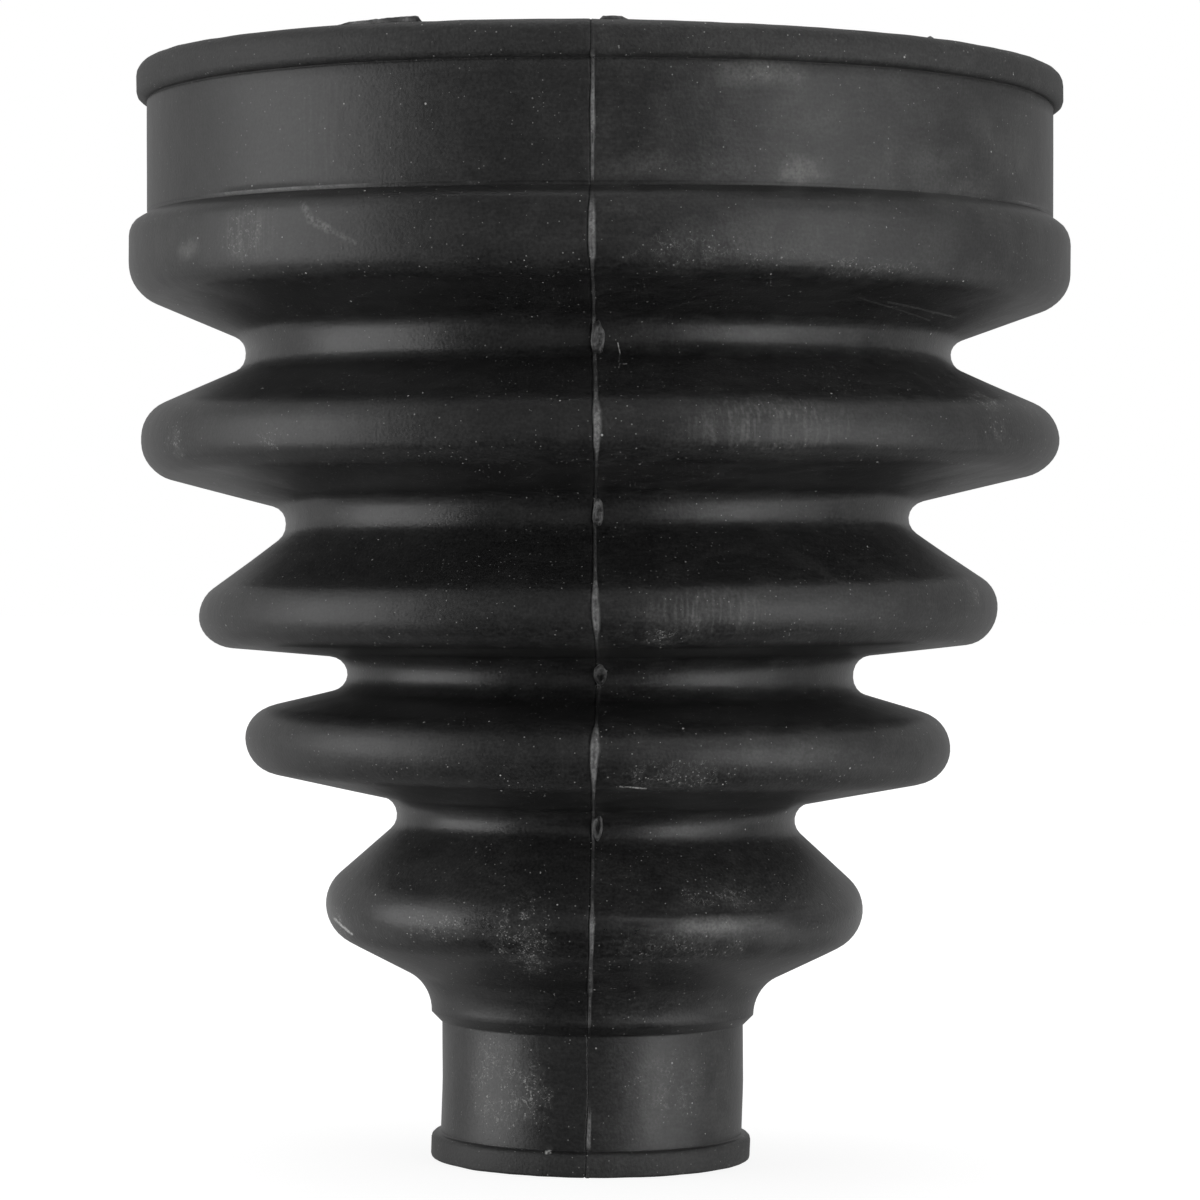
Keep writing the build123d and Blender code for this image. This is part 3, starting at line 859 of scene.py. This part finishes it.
def rubber():
    """Black moulded rubber: satin, with grain, a film of dust that in two patches also paints a
    highlight, scuffs, specks and torn flash.

    The groove beside the fin has its specular shine taken off, a painted shade that keeps it dark."""
    material = bpy.data.materials.new("moulded_rubber")
    material.use_nodes = True
    tree = material.node_tree
    shader = tree.nodes["Principled BSDF"]
    coordinates = node(tree, "TexCoord", {}).outputs["Object"]
    place = node(tree, "VectorMath", {0: coordinates, "Scale": 1 / MM}, operation="SCALE").outputs[0]
    names = ("dust", "scuff", "streak", "torn", "matt", "polish", "inside")
    dust, scuff, streak, torn, matt, polish, inside = (attribute(tree, name) for name in names)
    grain = clouds(tree, place, 0.3, 3.0)
    mottle = clouds(tree, place, 2.4, 3.0)
    wisps = clouds(tree, place, 6.0, 4.0, 1.2)
    upright = clouds(tree, place, 0.45, 2.0, stretch=(1, 1, 0.07))
    level = clouds(tree, place, 1.6, 3.0, stretch=(1, 1, 5))
    patchy = ramp(tree, clouds(tree, place, 1.2, 3.0), 0.42, 0.64)
    right = ramp(tree, node(tree, "SeparateXYZ", {0: place}).outputs["X"], *FILM_EDGE)
    slope = attribute(tree, "slope")

    # A thin film of dust: uneven, and thicker on the right, on what faces up, inside, on the
    # lips and in the marked patches. Two of those patches also paint a highlight.
    film_and_highlight = total(
        tree,
        product(tree, ramp(tree, wisps, 0.42, 0.7), 0.045),
        product(tree, ramp(tree, level, 0.45, 0.75), 0.04),
        product(tree, dust, ramp(tree, wisps, 0.3, 0.6, 0.25, 1.0), 0.16),
        product(tree, streak, ramp(tree, upright, 0.47, 0.72), 0.22),
        product(tree, scuff, ramp(tree, mottle, 0.35, 0.6), 0.15),
        product(tree, maths(tree, "MAXIMUM", slope, 0.0), 0.012),
        product(tree, inside, 0.03),
        product(tree, matt, 0.02),
    )
    film_and_highlight = product(tree, film_and_highlight, ramp(tree, grain, 0.32, 0.68, 0.65, 1.35))
    film_and_highlight = product(tree, film_and_highlight, maths(tree, "MULTIPLY_ADD", right, 0.5, 0.7))

    # Scratches and specks.
    scratches = product(tree, threads(tree, place, 0.8, 0.022), patchy, 0.4)
    scratches = product(tree, scratches, ramp(tree, scuff, 0.0, 0.8))
    strewn = ramp(tree, mottle, 0.35, 0.6, 0.3, 1.2)
    spacing, radius, strength = GRIT
    gritty = product(tree, scuff, strewn)
    grit = product(tree, specks(tree, place, spacing, radius, gritty), strength)
    marks = maths(tree, "MAXIMUM", scratches, grit)
    flank = maths(tree, "MULTIPLY_ADD", maths(tree, "ABSOLUTE", slope), 0.9, 1.0)
    strewn = product(tree, strewn, flank)
    for spacing, radius, share, strength in SPECKS:
        dots = specks(tree, place, spacing, radius, product(tree, strewn, share))
        marks = maths(tree, "MAXIMUM", marks, product(tree, dots, flank, strength))
    side = maths(tree, "SIGN", node(tree, "SeparateXYZ", {0: place}).outputs["Y"])
    side = maths(tree, "SUBTRACT", side, product(tree, side, inside))
    for start, end, half_width, strength in STROKES:
        facing = maths(tree, "COMPARE", side, math.copysign(1, start[1]), 0.1)
        line = stroke(tree, place, start, end, half_width)
        line = product(tree, line, facing, ramp(tree, grain, 0.35, 0.6))
        marks = maths(tree, "MAXIMUM", marks, product(tree, line, strength))

    # The colour: black with grain, under the torn grey, under the film, under the marks.
    tearing = ramp(tree, grain, 0.3, 0.7, 0.5, 1.4)
    torn = product(tree, torn, ramp(tree, patchy, 0.0, 0.8, 0.45, 1.0), tearing)
    shade = {0: CARBON_BLACK, "Scale": ramp(tree, grain, 0.3, 0.7, 0.5, 1.5)}
    color = node(tree, "VectorMath", shade, operation="SCALE").outputs[0]
    for share, layer in ((torn, TORN_GREY), (film_and_highlight, DUST_AND_HIGHLIGHT_COLOR), (marks, SCRATCH_COLOR)):
        layers = {"Factor": share, "A": color, "B": layer}
        color = node(tree, "Mix", layers, data_type="RGBA").outputs["Result"]
    tree.links.new(color, shader.inputs["Base Color"])

    roughness = total(
        tree,
        ROUGHNESS,
        product(tree, mottle, 0.04),
        product(tree, wisps, 0.06),
        product(tree, grain, 0.04),
        product(tree, film_and_highlight, 0.4),
        product(tree, torn, 0.2),
        product(tree, matt, 0.18),
        product(tree, polish, -0.1),
        product(tree, inside, 0.08),
        product(tree, marks, 0.2),
    )
    tree.links.new(roughness, shader.inputs["Roughness"])
    # Painted shade: no specular shine in the groove beside the fin, so it stays dark as if shaded.
    shine = maths(tree, "MULTIPLY_ADD", attribute(tree, "crack"), -SPECULAR, SPECULAR)
    tree.links.new(shine, shader.inputs["Specular IOR Level"])

    relief = total(
        tree,
        product(tree, grain, 0.022),
        product(tree, mottle, 0.05),
        product(tree, matt, grain, 0.03),
    )
    bump = node(tree, "Bump", {"Height": relief, "Distance": MM, "Strength": 1.0})
    tree.links.new(bump.outputs[0], shader.inputs["Normal"])
    return material


def linked(name, data):
    """New object in the scene."""
    item = bpy.data.objects.new(name, data)
    bpy.context.scene.collection.objects.link(item)
    return item


def piece(mesh, material):
    """A piece of the boot, with its material, on its body."""
    item = linked(mesh.name, mesh)
    mesh.materials.append(material)
    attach(item, BODY)
    return item


moulded = rubber()
boot = piece(boot_mesh(), moulded)
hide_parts(NODE)
valleys = [bend for bend in wall_bends(0)[1:] if bend.radius < 0]
for i, bend in enumerate(valleys):
    piece(pad_mesh("flash_pad_front_%d" % (i + 1), bend, FRONT_PADS[i], -1), moulded)
    piece(pad_mesh("flash_pad_back_%d" % (i + 1), bend, BACK_PADS[i], 1), moulded)
for i, rows in enumerate(LIP_TABS):
    piece(tab_mesh("lip_flash_%d" % (i + 1), rows), moulded)

# ---------------- camera
# The sensor and the lens are in millimetres, and places in metres.
SENSOR = 36.0
LENS = 133.4
CAMERA_DISTANCE = 0.464
CAMERA_HEIGHT = 0.06452
CAMERA_PITCH = math.radians(0.793)
CAMERA_ROLL = math.radians(0.5)
CAMERA_X = 0.00025


def camera():
    """The photo's camera, in front of the boot and level with about its middle."""
    lens = bpy.data.cameras.new("camera")
    lens.sensor_width = SENSOR
    lens.lens = LENS
    item = linked("camera", lens)
    item.location = (CAMERA_X, -CAMERA_DISTANCE, CAMERA_HEIGHT)
    item.rotation_mode = "XYZ"
    item.rotation_euler = (math.pi / 2 - CAMERA_PITCH, -CAMERA_ROLL, 0)
    bpy.context.scene.camera = item


camera()

# ---------------- studio
# Directions are in degrees as seen from the boot's middle: azimuth right of the camera, and
# elevation. A lamp or a patch of wall reaches half its width and height to each side of its own
# direction. A radiance of 1 is white.
MIDDLE = Vector((0, 0, 0.057))
LAMP_DISTANCE = 1.0
Softbox = namedtuple("Softbox", "name azimuth half_width elevation half_height radiance")
SOFTBOXES = (
    Softbox("left_softbox", -77, 23, 4, 27, 2.5),
    Softbox("right_softbox", 57, 32, 0, 27, 1.33),
    Softbox("right_core", 50, 8, 0, 20, 1.8),
    Softbox("left_top_softbox", -77, 19, 45, 10, 1.36),
    Softbox("right_top_softbox", 53, 37, 45, 10, 1.39),
    Softbox("top_softbox", 180, 60, 80, 25, 1.8),
)
# The dim patches of the studio's wall, a sphere that the boot reflects between the lamps.
WALL_DISTANCE = 1.4
WALL_STEP = 6
WALLS = (
    Softbox("front", -9, 23, 20, 40, 0.27),
    Softbox("back_left", -140, 45, 20, 45, 0.55),
    Softbox("back_right", 140, 45, 20, 45, 0.48),
    Softbox("left_low", -90, 40, -30, 10, 0.66),
    Softbox("right_low", 80, 40, -30, 10, 0.81),
    Softbox("back_low", 180, 90, -45, 25, 0.33),
)
FLOOR_SIZE = 6.0
# The floor's colour as it lights the boot, and as the camera sees it, besides its glow.
FLOOR_COLOR = (0.85, 0.85, 0.85, 1)
SHADOW_COLOR = (0.27, 0.27, 0.27, 1)
# How much dimmer the glow is under the boot, and how far from there it is whole again.
SHADOW_DEPTH = 0.16
SHADOW_REACH = 0.2


def direction(azimuth, elevation):
    """Unit vector of a direction as seen from the boot's middle."""
    a, e = math.radians(azimuth), math.radians(elevation)
    return Vector((math.sin(a) * math.cos(e), -math.cos(a) * math.cos(e), math.sin(e)))


def softbox(box):
    """Area lamp of even brightness that fills the box's directions, facing the boot."""
    lamp = bpy.data.lights.new(box.name, "AREA")
    lamp.shape = "RECTANGLE"
    across = LAMP_DISTANCE * math.cos(math.radians(box.elevation))
    lamp.size = 2 * across * math.tan(math.radians(box.half_width))
    lamp.size_y = 2 * LAMP_DISTANCE * math.tan(math.radians(box.half_height))
    lamp.energy = box.radiance * math.pi * lamp.size * lamp.size_y
    lamp.cycles.use_multiple_importance_sampling = False
    item = linked(box.name, lamp)
    towards = direction(box.azimuth, box.elevation)
    item.location = MIDDLE + towards * LAMP_DISTANCE
    item.rotation_euler = (-towards).to_track_quat("-Z", "Y").to_euler()
    item.visible_camera = False


def wall_radiance(azimuth, elevation):
    """Radiance of the studio's wall in this direction."""
    for box in WALLS:
        aside = abs((azimuth - box.azimuth + 180) % 360 - 180)
        if aside < box.half_width and abs(elevation - box.elevation) < box.half_height:
            return box.radiance
    return 0.0


def empty_tree(owner):
    """Node tree of a material or a world, without nodes."""
    owner.use_nodes = True
    owner.node_tree.nodes.clear()
    return owner.node_tree


def seen_directly(tree):
    """1 for camera, glossy and transmission rays."""
    path = node(tree, "LightPath", {}).outputs
    seen = maths(tree, "MAXIMUM", path["Is Camera Ray"], path["Is Glossy Ray"])
    return maths(tree, "MAXIMUM", seen, path["Is Transmission Ray"])


def studio_walls():
    """Sphere of dim wall behind the lamps, which the camera looks through."""
    azimuths = np.arange(-180, 180, WALL_STEP)
    elevations = np.arange(-90, 91, WALL_STEP)
    points, faces, radiances = [], [], []
    for elevation in elevations:
        points += [MIDDLE + direction(azimuth, elevation) * WALL_DISTANCE for azimuth in azimuths]
    count = len(azimuths)
    for row, low in enumerate(elevations[:-1]):
        for column, left in enumerate(azimuths):
            a, b = row * count + column, row * count + (column + 1) % count
            faces.append((a, a + count, b + count, b))
            radiances.append(wall_radiance(left + WALL_STEP / 2, low + WALL_STEP / 2))
    mesh = bpy.data.meshes.new("studio_walls")
    mesh.from_pydata(points, [], faces)
    mesh.attributes.new("radiance", "FLOAT", "FACE").data.foreach_set("value", radiances)
    material = bpy.data.materials.new("studio_grey")
    tree = empty_tree(material)
    glow = node(tree, "Emission", {"Strength": attribute(tree, "radiance")})
    node(tree, "OutputMaterial", {"Surface": glow.outputs[0]})
    mesh.materials.append(material)
    material.cycles.emission_sampling = "NONE"
    walls = linked("studio_walls", mesh)
    walls.visible_camera = False
    walls.visible_shadow = False


def floor():
    """Pale floor that glows, less so near the boot, and so looks white but for a soft shadow.

    The low lamps shine through it."""
    half = FLOOR_SIZE / 2
    mesh = bpy.data.meshes.new("floor")
    corners = [(-half, -half, 0), (half, -half, 0), (half, half, 0), (-half, half, 0)]
    mesh.from_pydata(corners, [], [(0, 1, 2, 3)])
    material = bpy.data.materials.new("pale_floor")
    tree = empty_tree(material)
    place = node(tree, "TexCoord", {}).outputs["Object"]
    distance = node(tree, "VectorMath", {0: place}, operation="LENGTH").outputs["Value"]
    glow = ramp(tree, distance, 0.0, SHADOW_REACH, 1 - SHADOW_DEPTH, 1.0)
    glow = node(tree, "Emission", {"Strength": glow}).outputs[0]
    shadow = node(tree, "BsdfDiffuse", {"Color": SHADOW_COLOR}).outputs[0]
    paint = node(tree, "BsdfDiffuse", {"Color": FLOOR_COLOR}).outputs[0]
    seen = node(tree, "AddShader", {0: glow, 1: shadow}).outputs[0]
    mix = node(tree, "MixShader", {"Fac": seen_directly(tree), 1: paint, 2: seen})
    node(tree, "OutputMaterial", {"Surface": mix.outputs[0]})
    mesh.materials.append(material)
    material.cycles.emission_sampling = "NONE"
    item = linked("floor", mesh)
    item.visible_shadow = False
    item.visible_glossy = False


def white_world():
    """World that is white where it is seen and gives no light."""
    world = bpy.data.worlds.new("world")
    bpy.context.scene.world = world
    tree = empty_tree(world)
    white = {"Color": (1, 1, 1, 1), "Strength": seen_directly(tree)}
    node(tree, "OutputWorld", {"Surface": node(tree, "Background", white).outputs[0]})


for box in SOFTBOXES:
    softbox(box)
studio_walls()
floor()
white_world()
bpy.context.scene.view_settings.view_transform = "Standard"
